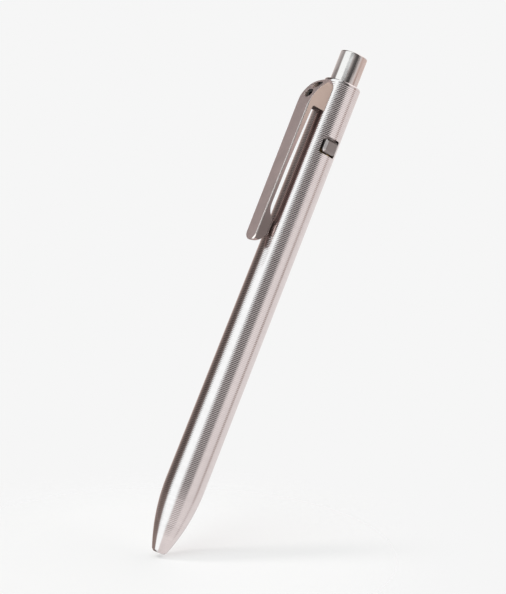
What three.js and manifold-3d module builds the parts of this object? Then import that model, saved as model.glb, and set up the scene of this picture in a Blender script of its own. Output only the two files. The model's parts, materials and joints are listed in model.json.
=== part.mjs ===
// A retractable metal pen: a knob on top brings the nib out, a button in the side lets it back in.
// Millimetres. The pen stands upright on its axis, +Z, with the nose end at the origin.
// The clip is on the -Y side and the side button on the +X side.
import * as THREE from "three";
import { mergeVertices } from "three/addons/utils/BufferGeometryUtils.js";
import Module from "manifold-3d";

const wasm = await Module();
wasm.setup();

// Clearances shared by all the pieces
const SEAT = 0.05; // between pieces that are fixed to each other
const RUNNING = 0.1; // around a piece that slides
const STOP = 0.2; // left at the end of a travel

// Barrel
const BARREL_LENGTH = 140.1;
const SEAM_HEIGHT = 60; // where the two halves screw together
const GRIP_RADIUS = 5.7; // thickest, where the nose begins
const TOP_RADIUS = 5.3;
const NOSE_LENGTH = 20;
const NOSE_END_RADIUS = 1.95;
const NOSE_EDGE = 0.6;
const TOP_EDGE_DROP = 0.35;
const TOP_EDGE_INSET = 0.35;
const NIB_HOLE_LENGTH = 3;
const SPIGOT_LENGTH = 9;
const SPIGOT_WALL = 1.15;

// Seal between the halves
const O_RING_THICKNESS = 0.6;
const O_RING_BELOW_SEAM = 1.4;

// Refill, a gel type, which reaches from the nib's setback to the plunger's foot
const REFILL_RADIUS = 3.05;
const REFILL_WALL = 0.75;
const REFILL_BORE_CLEARANCE = 0.25;
const REFILL_SHOULDER = 11.65; // from the ball to the face that the spring pushes on
const NIB_SETBACK = 0.85; // how far the ball lies inside the nose
const TIP_RADIUS = 1.15;
const TIP_END_RADIUS = 0.55;
const TIP_CONE_LENGTH = 1.9;
const BALL_RADIUS = 0.35;
const TIP_PLUG_LENGTH = 4.5;
const INK_LENGTH = 60;
const FOLLOWER_LENGTH = 4;
const END_PLUG_LENGTH = 4;
const END_PLUG_HEAD = 2;

// Return spring round the refill's tip
const SPRING_WIRE = 0.4;
const SPRING_RADIUS = 1.8; // to the middle of the wire
const SPRING_TURNS = 7;
const SPRING_BORE_CLEARANCE = 0.3;

// Click knob and plunger
const STROKE = 4.5;
const KNOB_RADIUS = 3.92;
const KNOB_STANDOUT = 8.95;
const KNOB_ENGAGEMENT = 4;
const KNOB_EDGE = 0.35;
const KNOB_ROOF = 5;
const ROD_RADIUS = 2.2;
const CATCH_RADIUS = 1.9;
const CATCH_THICKNESS = 1.4;
const CATCH_CONE = 0.5;
const PLUNGER_FOOT_LENGTH = 8.6; // with this the refill is 111.2 long
const ROD_TAIL_DEPTH = 6.3;
const BUSH_LENGTH = 3.4;
const LOCK_RING_LENGTH = 1.25;
const LOCK_RING_BORE_RADIUS = 2.7;
const LOCK_RING_NOTCH = 0.9;
const SLEEVE_BORE_RADIUS = 2.6;

// Side button and latch
const BUTTON_BELOW_TOP = 18.6;
const BUTTON_WIDTH = 4.5;
const BUTTON_HEIGHT = 3.95;
const BUTTON_BEVEL = 0.62;
const BUTTON_PROUD = 0.46;
const BUTTON_DEPTH = 1.83;
const BUTTON_CORNER = 0.3;
const BUTTON_TRAVEL = 0.8;
const WINDOW_SIDE_GAP = 0.55;
const WINDOW_END_GAP = 0.55;
const WINDOW_CORNER = 0.6;
const CATCH_BITE = 0.4; // how far the plate slips over the catch to hold the nib out
const PLATE_THICKNESS = 1.2;
const PLATE_RIM = 0.92;
const PLATE_END_RIM = 0.6;
const TONGUE_WIDTH = 3.2;
const TONGUE_DEPTH = 1.1;
const PIN_RADIUS = 0.3;
const PIN_LENGTH = 3.2;
const SEAT_RING_LENGTH = 2.45;
const LEAF_THICKNESS = 0.15;
const LEAF_SPAN = 3.4;

// Clip
const CLIP_WIDTH = 5.4; // at its top end
const CLIP_TOE_WIDTH = 4.7;
const CLIP_STANDOFF = 10.75; // from the pen's axis to the outer face
const CLIP_THICKNESS = 1.2; // above the nub
const CLIP_ROOT_THICKNESS = 1.8; // where it leaves its foot
const CLIP_TAPER_LENGTH = 18; // below the foot, over which it thickens
const CLIP_LENGTH = 50.25;
const CLIP_BELOW_TOP = 0.75;
const CLIP_CROWN_RADIUS = 12;
const CLIP_EDGE = 0.3;
const CLIP_TOE_CORNER = 2;
const FOOT_LENGTH = 9.15;
const FOOT_FILLET = 0.5;
const NUB_RADIUS = 2.6;
const NUB_FROM_TOE = 5.1;
const NUB_RISE_LENGTH = 6.3;
const NUB_CROWN = 1.7;
const NUB_GAP = 0.3;

// Clip screws
const SCREW_RADIUS = 0.8;
const SCREW_HEAD_RADIUS = 1.3;
const SCREW_HEAD_HEIGHT = 0.9;
const SCREW_SOCKET_RADIUS = 0.7;
const SCREW_SOCKET_DEPTH = 0.6;
const SCREW_SPACING = 3.2;
const UPPER_SCREW_BELOW_CLIP_TOP = 2.9;
const COUNTERBORE_CLEARANCE = 0.12;
const SCREW_RECESS = 0.1;

// Fineness of the round faces
const ROUND = 48;
const SMALL_ROUND = 24;
const ARC_STEPS = 12;
const CURVE_STEPS = 6;

// Sizes that follow from those above
const noseDrop = GRIP_RADIUS - NOSE_END_RADIUS;
const noseArcRadius = (NOSE_LENGTH ** 2 + noseDrop ** 2) / (2 * noseDrop);
const boreRadius = REFILL_RADIUS + REFILL_BORE_CLEARANCE;
const spigotRadius = boreRadius + SPIGOT_WALL;
const chamberRadius = KNOB_RADIUS + RUNNING;
const innerRadius = chamberRadius - SEAT; // outside of what is fixed in the chamber
const springRoom = SPRING_RADIUS + SPRING_WIRE / 2 + SPRING_BORE_CLEARANCE;

const refillShoulder = NIB_SETBACK + REFILL_SHOULDER;
const refillStep = refillShoulder - STROKE - STOP;

const buttonLevel = BARREL_LENGTH - BUTTON_BELOW_TOP;
const plateBottom = buttonLevel - PLATE_THICKNESS / 2;
const plateTop = buttonLevel + PLATE_THICKNESS / 2;
const seatTop = plateBottom - RUNNING;
const chamberBottom = seatTop - SEAT_RING_LENGTH - SEAT;
const plateHoleRadius = CATCH_RADIUS + RUNNING;
const plateRadius = plateHoleRadius + PLATE_RIM;
const plateEnd = plateHoleRadius + PLATE_END_RIM;
const buttonFace = barrelRadius(buttonLevel) + BUTTON_PROUD;
const buttonBack = buttonFace - BUTTON_DEPTH;
const buttonRelief = buttonBack - BUTTON_TRAVEL - RUNNING;

const knobBottom = BARREL_LENGTH - KNOB_ENGAGEMENT;
const knobTop = BARREL_LENGTH + KNOB_STANDOUT;
const rodTop = knobTop - KNOB_ROOF;
const lockRingTop = knobBottom - STROKE - STOP;
const bushTop = lockRingTop - LOCK_RING_LENGTH - SEAT;
const sleeveTop = bushTop - BUSH_LENGTH - SEAT;
const footTop = plateBottom - STOP;
const footBottom = footTop - PLUNGER_FOOT_LENGTH;
const refillTop = footBottom - SEAT;
const catchTop = plateBottom + STROKE - STOP;
const catchBottom = catchTop - CATCH_THICKNESS;
const neckTop = plateTop + STROKE + STOP;
const neckRadius = CATCH_RADIUS - CATCH_BITE - STOP;
const footRadius = buttonRelief - RUNNING;
const tailBottom = footTop - ROD_TAIL_DEPTH;

const clipTop = BARREL_LENGTH - CLIP_BELOW_TOP;
const clipToe = clipTop - CLIP_LENGTH;
const clipInside = CLIP_STANDOFF - CLIP_THICKNESS;
const clipRoot = CLIP_STANDOFF - CLIP_ROOT_THICKNESS;
const footUnderside = clipTop - FOOT_LENGTH;
const crownCentre = CLIP_STANDOFF - CLIP_CROWN_RADIUS;
const crownRise = Math.sqrt(CLIP_CROWN_RADIUS ** 2 - (barrelRadius(clipTop) - crownCentre) ** 2);
const crownStart = clipTop - crownRise;
const nubLevel = clipToe + NUB_FROM_TOE;
const nubTip = barrelRadius(nubLevel) + NUB_GAP;
const counterboreRadius = SCREW_HEAD_RADIUS + COUNTERBORE_CLEARANCE;
const screwTip = chamberRadius + RUNNING;
const screwLevels = {
  upper: clipTop - UPPER_SCREW_BELOW_CLIP_TOP,
  lower: clipTop - UPPER_SCREW_BELOW_CLIP_TOP - SCREW_SPACING,
};

// The barrel's outer radius at a height: an arc along the nose, then a slow taper.
function barrelRadius(height) {
  if (height < NOSE_LENGTH) {
    const below = NOSE_LENGTH - height;
    return GRIP_RADIUS - noseArcRadius + Math.sqrt(noseArcRadius ** 2 - below ** 2);
  }
  const along = (height - NOSE_LENGTH) / (BARREL_LENGTH - NOSE_LENGTH);
  return GRIP_RADIUS + (TOP_RADIUS - GRIP_RADIUS) * along;
}

// How far from the axis the curved top of the clip lies at a height.
function crownRadius(height) {
  const above = Math.max(0, height - crownStart);
  return crownCentre + Math.sqrt(CLIP_CROWN_RADIUS ** 2 - above ** 2);
}

// A geometry as a solid that can be joined and cut.
function solidFrom(geometry) {
  const bare = geometry.index ? geometry.toNonIndexed() : geometry.clone();
  bare.deleteAttribute("normal");
  bare.deleteAttribute("uv");
  const merged = mergeVertices(bare, 1e-4);
  return new wasm.Manifold(
    new wasm.Mesh({
      numProp: 3,
      vertProperties: merged.attributes.position.array,
      triVerts: new Uint32Array(merged.index.array),
    }),
  );
}

function geometryFrom(solid) {
  const { vertProperties, triVerts } = solid.getMesh();
  const geometry = new THREE.BufferGeometry();
  geometry.setAttribute("position", new THREE.BufferAttribute(new Float32Array(vertProperties), 3));
  geometry.setIndex(new THREE.BufferAttribute(new Uint32Array(triVerts), 1));
  geometry.computeVertexNormals();
  return geometry;
}

function cut(geometry, ...tools) {
  const left = tools.reduce((rest, tool) => rest.subtract(solidFrom(tool)), solidFrom(geometry));
  return geometryFrom(left);
}

function common(first, second) {
  return geometryFrom(solidFrom(first).intersect(solidFrom(second)));
}

// Turned on the pen's axis from [radius, height] points, listed anticlockwise.
// An outline that starts on the axis also ends there; any other closes on itself.
function turned(outline, segments = ROUND) {
  const points = outline.map(([radius, height]) => new THREE.Vector2(radius, height));
  if (outline[0][0] > 0) points.push(points[0].clone());
  return new THREE.LatheGeometry(points, segments).rotateX(Math.PI / 2);
}

// A ring with square edges, between two heights.
function ring(inner, outer, bottom, top, segments = ROUND) {
  const outline = [
    [inner, bottom],
    [outer, bottom],
    [outer, top],
    [inner, top],
  ];
  return turned(outline, segments);
}

// A round bar along Z, between two heights.
function bar(radius, bottom, top, segments = SMALL_ROUND) {
  return new THREE.CylinderGeometry(radius, radius, top - bottom, segments)
    .rotateX(Math.PI / 2)
    .translate(0, 0, (bottom + top) / 2);
}

function block(lowX, highX, width, bottom, top) {
  return new THREE.BoxGeometry(highX - lowX, width, top - bottom)
    .translate((lowX + highX) / 2, 0, (bottom + top) / 2);
}

// A rectangle with rounded corners, centred on the origin.
function roundedRectangle(width, height, corner) {
  const shape = new THREE.Shape();
  const right = width / 2 - corner;
  const top = height / 2 - corner;
  shape.absarc(right, top, corner, 0, Math.PI / 2);
  shape.absarc(-right, top, corner, Math.PI / 2, Math.PI);
  shape.absarc(-right, -top, corner, Math.PI, 1.5 * Math.PI);
  shape.absarc(right, -top, corner, 1.5 * Math.PI, 2 * Math.PI);
  return shape;
}

// A flat shape drawn in Y and Z, thickened along +X from the plane X = 0.
function thickenedAlongX(shape, depth, options = {}) {
  const settings = { depth, bevelEnabled: false, curveSegments: CURVE_STEPS / 2, ...options };
  return new THREE.ExtrudeGeometry(shape, settings)
    .rotateX(Math.PI / 2)
    .rotateZ(Math.PI / 2);
}

// Barrel
function noseOutline() {
  const points = [[barrelRadius(0) - NOSE_EDGE, 0]];
  for (let step = 0; step <= ARC_STEPS; step += 1) {
    const height = NOSE_EDGE + ((NOSE_LENGTH - NOSE_EDGE) * step) / ARC_STEPS;
    points.push([barrelRadius(height), height]);
  }
  return points;
}

function frontBarrelGeometry() {
  const top = SEAM_HEIGHT - SEAT;
  const socketBottom = SEAM_HEIGHT - SPIGOT_LENGTH - SEAT;
  return turned([
    [TIP_RADIUS + RUNNING, 0],
    ...noseOutline(),
    [barrelRadius(top), top],
    [spigotRadius + SEAT, top],
    [spigotRadius + SEAT, socketBottom],
    [boreRadius, socketBottom],
    [boreRadius, refillStep],
    [springRoom, refillStep],
    [springRoom, NIB_HOLE_LENGTH],
    [TIP_RADIUS + RUNNING, NIB_HOLE_LENGTH],
  ]);
}

function topEdgeOutline() {
  const points = [];
  for (let step = 0; step <= ARC_STEPS / 2; step += 1) {
    const angle = (Math.PI * step) / ARC_STEPS;
    const radius = TOP_RADIUS - TOP_EDGE_INSET * (1 - Math.cos(angle));
    points.push([radius, BARREL_LENGTH - TOP_EDGE_DROP * (1 - Math.sin(angle))]);
  }
  return points;
}

function windowCutter() {
  const width = BUTTON_WIDTH + 2 * WINDOW_SIDE_GAP;
  const height = BUTTON_HEIGHT + 2 * WINDOW_END_GAP;
  const shape = roundedRectangle(width, height, WINDOW_CORNER);
  return thickenedAlongX(shape, 2 * TOP_RADIUS).translate(0, 0, buttonLevel);
}

// A round cutter or bar that points out of the clip side, between two distances from the axis.
function towardsClip(radius, inner, outer, height) {
  return bar(radius, inner, outer).rotateX(Math.PI / 2).translate(0, 0, height);
}

function rearBarrelGeometry() {
  const bottom = SEAM_HEIGHT - SPIGOT_LENGTH;
  const grooveTop = SEAM_HEIGHT - O_RING_BELOW_SEAM + O_RING_THICKNESS / 2 + SEAT;
  const grooveBottom = grooveTop - O_RING_THICKNESS - 2 * SEAT;
  const grooveRadius = spigotRadius - O_RING_THICKNESS;
  const shell = turned([
    [boreRadius, bottom],
    [spigotRadius, bottom],
    [spigotRadius, grooveBottom],
    [grooveRadius, grooveBottom],
    [grooveRadius, grooveTop],
    [spigotRadius, grooveTop],
    [spigotRadius, SEAM_HEIGHT],
    [barrelRadius(SEAM_HEIGHT), SEAM_HEIGHT],
    ...topEdgeOutline(),
    [chamberRadius, BARREL_LENGTH],
    [chamberRadius, chamberBottom],
    [boreRadius, chamberBottom],
  ]);
  const screwHoles = Object.values(screwLevels).map((height) =>
    towardsClip(SCREW_RADIUS + SEAT, 0, 2 * TOP_RADIUS, height),
  );
  return cut(shell, windowCutter(), ...screwHoles);
}

function oRingGeometry() {
  const wire = O_RING_THICKNESS / 2 - SEAT / 2;
  return new THREE.TorusGeometry(spigotRadius - O_RING_THICKNESS / 2, wire, 8, ROUND);
}

// Clip
// Its side view: distance from the axis to the right, height up.
function clipProfile() {
  const shape = new THREE.Shape();
  const nubCentre = nubTip + NUB_RADIUS;
  const riseAngle = (2 * Math.PI) / 3;
  const riseX = nubCentre + NUB_RADIUS * Math.cos(riseAngle);
  const riseY = nubLevel + NUB_RADIUS * Math.sin(riseAngle);
  const tangentReach = (clipInside - riseX) / Math.tan(Math.PI / 3);
  const toeFace = CLIP_STANDOFF - CLIP_THICKNESS / 2;
  shape.moveTo(CLIP_STANDOFF, clipToe);
  shape.lineTo(CLIP_STANDOFF, crownStart);
  shape.absarc(crownCentre, crownStart, CLIP_CROWN_RADIUS, 0, Math.asin(crownRise / CLIP_CROWN_RADIUS));
  shape.lineTo(chamberRadius, clipTop);
  shape.lineTo(chamberRadius, footUnderside);
  shape.lineTo(clipRoot - FOOT_FILLET, footUnderside);
  shape.absarc(clipRoot - FOOT_FILLET, footUnderside - FOOT_FILLET, FOOT_FILLET, Math.PI / 2, 0, true);
  shape.lineTo(clipInside, footUnderside - CLIP_TAPER_LENGTH);
  shape.lineTo(clipInside, nubLevel + NUB_RISE_LENGTH);
  shape.quadraticCurveTo(clipInside, riseY + tangentReach, riseX, riseY);
  shape.absarc(nubCentre, nubLevel, NUB_RADIUS, riseAngle, (4.2 * Math.PI) / 3, false);
  shape.quadraticCurveTo(clipInside - FOOT_FILLET, clipToe, toeFace, clipToe);
  return shape;
}

// Its front view: width to the right, height up, narrower at the toe, with a round top end.
function clipOutline(inset) {
  const shape = new THREE.Shape();
  const half = CLIP_TOE_WIDTH / 2 - inset;
  const corner = CLIP_TOE_CORNER - inset;
  const toe = clipToe + inset;
  shape.absarc(0, clipTop - CLIP_WIDTH / 2, CLIP_WIDTH / 2 - inset, 0, Math.PI);
  shape.absarc(-half + corner, toe + corner, corner, Math.PI, 1.5 * Math.PI);
  shape.absarc(half - corner, toe + corner, corner, 1.5 * Math.PI, 2 * Math.PI);
  return shape;
}

// What is cut from under the toe so that the nub bulges across its width.
function nubCrownCutter() {
  const half = CLIP_TOE_WIDTH / 2;
  const bulge = (half ** 2 + NUB_CROWN ** 2) / (2 * NUB_CROWN);
  const reach = Math.asin(half / bulge);
  const shape = new THREE.Shape();
  shape.moveTo(-CLIP_WIDTH, 0);
  shape.lineTo(CLIP_WIDTH, 0);
  shape.lineTo(CLIP_WIDTH, nubTip + NUB_CROWN);
  shape.absarc(0, nubTip + bulge, bulge, -Math.PI / 2 + reach, -Math.PI / 2 - reach, true);
  shape.lineTo(-CLIP_WIDTH, nubTip + NUB_CROWN);
  const depth = NUB_FROM_TOE + NUB_RISE_LENGTH;
  return new THREE.ExtrudeGeometry(shape, { depth, bevelEnabled: false, curveSegments: CURVE_STEPS })
    .rotateZ(Math.PI)
    .translate(0, 0, clipToe);
}

// Distance from the axis to the top of a screw's head, low enough to lie in its counterbore.
function screwHeadTop(height) {
  return crownRadius(height + counterboreRadius) - SCREW_RECESS;
}

function clipGeometry() {
  const side = new THREE.ExtrudeGeometry(clipProfile(), {
    depth: CLIP_WIDTH + 2,
    bevelEnabled: false,
    curveSegments: CURVE_STEPS,
  })
    .applyMatrix4(new THREE.Matrix4().makeBasis(
      new THREE.Vector3(0, -1, 0),
      new THREE.Vector3(0, 0, 1),
      new THREE.Vector3(-1, 0, 0),
    ))
    .translate(CLIP_WIDTH / 2 + 1, 0, 0);
  const front = new THREE.ExtrudeGeometry(clipOutline(CLIP_EDGE), {
    depth: CLIP_STANDOFF - CLIP_EDGE,
    bevelSize: CLIP_EDGE,
    bevelThickness: CLIP_EDGE,
    bevelSegments: 1,
    curveSegments: CURVE_STEPS,
  }).rotateX(Math.PI / 2);
  const barrelRoom = turned([
    [0, footUnderside - 1],
    [barrelRadius(footUnderside) + SEAT, footUnderside - 1],
    [TOP_RADIUS + SEAT, BARREL_LENGTH],
    [0, BARREL_LENGTH],
  ]);
  const cutters = Object.values(screwLevels).flatMap((height) => {
    const headSeat = screwHeadTop(height) - SCREW_HEAD_HEIGHT - SEAT;
    return [
      towardsClip(SCREW_RADIUS + SEAT, 0, CLIP_STANDOFF, height),
      towardsClip(counterboreRadius, headSeat, CLIP_STANDOFF + 1, height),
    ];
  });
  return cut(common(side, front), nubCrownCutter(), barrelRoom, ...cutters);
}

// A screw on its own axis, its tip at the origin and its head up.
function screwGeometry(length) {
  const shank = length - SCREW_HEAD_HEIGHT;
  const body = turned(
    [
      [0, 0],
      [SCREW_RADIUS, 0],
      [SCREW_RADIUS, shank],
      [SCREW_HEAD_RADIUS, shank],
      [SCREW_HEAD_RADIUS, length],
      [0, length],
    ],
    SMALL_ROUND,
  );
  return cut(body, bar(SCREW_SOCKET_RADIUS, length - SCREW_SOCKET_DEPTH, length + 1, 6));
}

// Knob and plunger
function knobGeometry() {
  const socketRadius = ROD_RADIUS + SEAT;
  const outline = [
    [0, rodTop + SEAT],
    [socketRadius, rodTop + SEAT],
    [socketRadius, knobBottom],
    [KNOB_RADIUS, knobBottom],
  ];
  for (let step = 0; step <= ARC_STEPS / 2; step += 1) {
    const angle = (Math.PI * step) / ARC_STEPS;
    outline.push([
      KNOB_RADIUS - KNOB_EDGE * (1 - Math.cos(angle)),
      knobTop - KNOB_EDGE * (1 - Math.sin(angle)),
    ]);
  }
  outline.push([0, knobTop]);
  return turned(outline);
}

function plungerRodGeometry() {
  const outline = [
    [0, tailBottom],
    [neckRadius, tailBottom],
    [neckRadius, catchBottom],
    [CATCH_RADIUS, catchBottom + CATCH_CONE],
    [CATCH_RADIUS, catchTop],
    [neckRadius, catchTop],
    [neckRadius, neckTop],
    [ROD_RADIUS, neckTop],
    [ROD_RADIUS, rodTop],
    [0, rodTop],
  ];
  return turned(outline, SMALL_ROUND);
}

function plungerFootGeometry() {
  const outline = [
    [0, footBottom],
    [footRadius, footBottom],
    [footRadius, footTop],
    [neckRadius + SEAT, footTop],
    [neckRadius + SEAT, tailBottom - SEAT],
    [0, tailBottom - SEAT],
  ];
  return turned(outline, SMALL_ROUND);
}

function lockRingGeometry() {
  const bottom = lockRingTop - LOCK_RING_LENGTH;
  const body = ring(LOCK_RING_BORE_RADIUS, innerRadius, bottom, lockRingTop);
  const notch = new THREE.BoxGeometry(3 * innerRadius, LOCK_RING_NOTCH, LOCK_RING_NOTCH);
  return cut(body, notch.translate(0, 0, lockRingTop));
}

// Latch
// The two rings that guide the plate leave room on the button's side for the button to sink.
function seatRingGeometry() {
  const body = ring(boreRadius, innerRadius, seatTop - SEAT_RING_LENGTH, seatTop);
  return cut(body, block(buttonRelief, 2 * TOP_RADIUS, 2 * TOP_RADIUS, 0, BARREL_LENGTH));
}

function sleeveGeometry() {
  const bottom = plateTop + RUNNING;
  const reliefTop = buttonLevel + BUTTON_HEIGHT / 2 + WINDOW_END_GAP;
  const body = ring(SLEEVE_BORE_RADIUS, innerRadius, bottom, sleeveTop);
  return cut(body, block(buttonRelief, 2 * TOP_RADIUS, 2 * TOP_RADIUS, bottom - 1, reliefTop));
}

function latchPlateGeometry() {
  const outline = new THREE.Shape();
  const tongueHalf = TONGUE_WIDTH / 2;
  const tongueAngle = Math.asin(tongueHalf / plateRadius);
  const endAngle = Math.acos(plateEnd / plateRadius);
  outline.moveTo(buttonBack + TONGUE_DEPTH, -tongueHalf);
  outline.lineTo(buttonBack + TONGUE_DEPTH, tongueHalf);
  outline.absarc(0, 0, plateRadius, tongueAngle, Math.PI - endAngle, false);
  outline.absarc(0, 0, plateRadius, Math.PI + endAngle, 2 * Math.PI - tongueAngle, false);
  const hole = new THREE.Path();
  hole.absarc(0, 0, plateHoleRadius, Math.PI / 2, 1.5 * Math.PI, false);
  hole.absarc(BUTTON_TRAVEL, 0, plateHoleRadius, -Math.PI / 2, Math.PI / 2, false);
  outline.holes.push(hole);
  const settings = { depth: PLATE_THICKNESS, bevelEnabled: false, curveSegments: ARC_STEPS };
  const plate = new THREE.ExtrudeGeometry(outline, settings).translate(0, 0, plateBottom);
  const pinHole = bar(PIN_RADIUS + SEAT, plateBottom - 1, plateTop + 1, ARC_STEPS);
  return cut(plate, pinHole.translate(buttonBack + TONGUE_DEPTH / 2, 0, 0));
}

function sideButtonGeometry() {
  const width = BUTTON_WIDTH - 2 * BUTTON_BEVEL;
  const height = BUTTON_HEIGHT - 2 * BUTTON_BEVEL;
  const shape = roundedRectangle(width, height, BUTTON_CORNER / 2);
  const depth = BUTTON_DEPTH;
  const cap = thickenedAlongX(shape, depth, {
    bevelEnabled: true,
    bevelSize: BUTTON_BEVEL,
    bevelThickness: BUTTON_BEVEL,
    bevelSegments: 1,
  }).translate(buttonFace - depth - BUTTON_BEVEL, 0, buttonLevel);
  const behind = block(0, buttonBack, 2 * BUTTON_WIDTH, 0, BARREL_LENGTH);
  const slotHeight = PLATE_THICKNESS / 2 + SEAT;
  const slot = block(
    0,
    buttonBack + TONGUE_DEPTH + SEAT,
    TONGUE_WIDTH + 2 * SEAT,
    buttonLevel - slotHeight,
    buttonLevel + slotHeight,
  );
  const pinTop = buttonLevel + PIN_LENGTH / 2 + SEAT;
  const pinHole = bar(PIN_RADIUS + SEAT, buttonLevel - BUTTON_HEIGHT, pinTop, ARC_STEPS);
  return cut(cap, behind, slot, pinHole.translate(buttonBack + TONGUE_DEPTH / 2, 0, 0));
}

// A bowed strip behind the plate, drawn as short as it gets with the button pressed.
function latchSpringGeometry() {
  const room = chamberRadius - BUTTON_TRAVEL - RUNNING - plateEnd - SEAT;
  const bow = room - LEAF_THICKNESS;
  const radius = ((LEAF_SPAN / 2) ** 2 + bow ** 2) / (2 * bow);
  const reach = Math.asin(LEAF_SPAN / 2 / radius);
  const shape = new THREE.Shape();
  shape.absarc(0, 0, radius, Math.PI - reach, Math.PI + reach, false);
  shape.absarc(0, 0, radius - LEAF_THICKNESS, Math.PI + reach, Math.PI - reach, true);
  const innerEdge = (radius - LEAF_THICKNESS) * Math.cos(reach);
  const settings = { depth: PLATE_THICKNESS, bevelEnabled: false, curveSegments: CURVE_STEPS };
  return new THREE.ExtrudeGeometry(shape, settings)
    .translate(innerEdge - plateEnd - SEAT, 0, plateBottom);
}

// Refill and return spring
function tipGeometry() {
  const socketDepth = 2 * BALL_RADIUS;
  const bottom = NIB_SETBACK + BALL_RADIUS / 2;
  const outline = [
    [0, bottom + socketDepth],
    [BALL_RADIUS + SEAT, bottom + socketDepth],
    [BALL_RADIUS + SEAT, bottom],
    [TIP_END_RADIUS, bottom],
    [TIP_RADIUS, bottom + TIP_CONE_LENGTH],
    [TIP_RADIUS, refillShoulder + TIP_PLUG_LENGTH],
    [0, refillShoulder + TIP_PLUG_LENGTH],
  ];
  return turned(outline, SMALL_ROUND);
}

function tipHolderGeometry() {
  const flange = REFILL_RADIUS - TIP_RADIUS;
  const plugRadius = REFILL_RADIUS - REFILL_WALL - SEAT;
  return turned(
    [
      [TIP_RADIUS + SEAT, refillShoulder],
      [REFILL_RADIUS, refillShoulder],
      [REFILL_RADIUS, refillShoulder + flange],
      [plugRadius, refillShoulder + flange],
      [plugRadius, refillShoulder + flange + TIP_PLUG_LENGTH],
      [TIP_RADIUS + SEAT, refillShoulder + flange + TIP_PLUG_LENGTH],
    ],
    SMALL_ROUND,
  );
}

const tubeBottom = refillShoulder + REFILL_RADIUS - TIP_RADIUS + SEAT;
const tubeTop = refillTop - END_PLUG_HEAD - SEAT;
const inkBottom = tubeBottom + TIP_PLUG_LENGTH + SEAT;
const inkRadius = REFILL_RADIUS - REFILL_WALL - SEAT;

function endPlugGeometry() {
  const outline = [
    [0, tubeTop - END_PLUG_LENGTH],
    [inkRadius, tubeTop - END_PLUG_LENGTH],
    [inkRadius, refillTop - END_PLUG_HEAD],
    [REFILL_RADIUS, refillTop - END_PLUG_HEAD],
    [REFILL_RADIUS, refillTop],
    [0, refillTop],
  ];
  return turned(outline, SMALL_ROUND);
}

class Helix extends THREE.Curve {
  constructor(radius, bottom, top, turns) {
    super();
    Object.assign(this, { radius, bottom, top, turns });
  }

  getPoint(share, target = new THREE.Vector3()) {
    const angle = 2 * Math.PI * this.turns * share;
    const height = this.bottom + (this.top - this.bottom) * share;
    return target.set(this.radius * Math.cos(angle), this.radius * Math.sin(angle), height);
  }
}

function returnSpringGeometry() {
  const wire = SPRING_WIRE / 2;
  const bottom = NIB_HOLE_LENGTH + wire + RUNNING;
  const top = refillShoulder - wire - RUNNING;
  const section = new THREE.Shape();
  section.absarc(0, 0, wire, 0, 2 * Math.PI);
  return new THREE.ExtrudeGeometry(section, {
    extrudePath: new Helix(SPRING_RADIUS, bottom, top, SPRING_TURNS),
    steps: 8 * SPRING_TURNS,
    curveSegments: 3,
    bevelEnabled: false,
  });
}

// Materials
function finish(color, roughness, metalness) {
  return new THREE.MeshStandardMaterial({ color, roughness, metalness });
}

const barrelMetal = () => finish(0xcfc5c3, 0.3, 1);
const clipMetal = () => finish(0xa89c98, 0.4, 1);
const knobMetal = () => finish(0xd2cac8, 0.2, 1);
const plainSteel = () => finish(0xb8b8b8, 0.35, 1);
const springSteel = () => finish(0x9a9a9a, 0.3, 1);
const brass = () => finish(0xb59a55, 0.35, 1);
const clearPlastic = () => finish(0xe6e8ea, 0.4, 0);
const whitePlastic = () => finish(0xf0f0f0, 0.5, 0);
const ink = () => finish(0x10121a, 0.3, 0);
const grease = () => finish(0xd8c878, 0.4, 0);
const rubber = () => finish(0x1c1c1c, 0.8, 0);

function piece(name, geometry, material) {
  const mesh = new THREE.Mesh(geometry, material);
  mesh.name = name;
  return mesh;
}

// Assembly
function clipScrew(name, height) {
  const length = screwHeadTop(height) - screwTip;
  const screw = piece(name, screwGeometry(length), plainSteel());
  screw.rotation.x = Math.PI / 2;
  screw.position.set(0, -screwTip, height);
  return screw;
}

function barrelGroup() {
  const oRing = piece("barrel_o_ring", oRingGeometry(), rubber());
  oRing.position.z = SEAM_HEIGHT - O_RING_BELOW_SEAM;
  return new THREE.Group().add(
    piece("front_barrel", frontBarrelGeometry(), barrelMetal()),
    piece("rear_barrel", rearBarrelGeometry(), barrelMetal()),
    oRing,
    piece("clip", clipGeometry(), clipMetal()),
    clipScrew("clip_screw_upper", screwLevels.upper),
    clipScrew("clip_screw_lower", screwLevels.lower),
  );
}

function guideGroup() {
  const bushBottom = bushTop - BUSH_LENGTH;
  return new THREE.Group().add(
    piece("latch_seat", seatRingGeometry(), brass()),
    piece("spacer_sleeve", sleeveGeometry(), plainSteel()),
    piece("plunger_bush", ring(ROD_RADIUS + RUNNING, innerRadius, bushBottom, bushTop), brass()),
    piece("lock_ring", lockRingGeometry(), plainSteel()),
  );
}

function plungerGroup() {
  return new THREE.Group().add(
    piece("click_knob", knobGeometry(), knobMetal()),
    piece("plunger_rod", plungerRodGeometry(), plainSteel()),
    piece("plunger_foot", plungerFootGeometry(), brass()),
  );
}

function latchGroup() {
  const pin = bar(PIN_RADIUS, -PIN_LENGTH / 2, PIN_LENGTH / 2, ARC_STEPS);
  const buttonPin = piece("button_pin", pin, plainSteel());
  buttonPin.position.set(buttonBack + TONGUE_DEPTH / 2, 0, buttonLevel);
  return new THREE.Group().add(
    piece("side_button", sideButtonGeometry(), clipMetal()),
    piece("latch_plate", latchPlateGeometry(), plainSteel()),
    buttonPin,
    piece("latch_spring", latchSpringGeometry(), springSteel()),
  );
}

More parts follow.
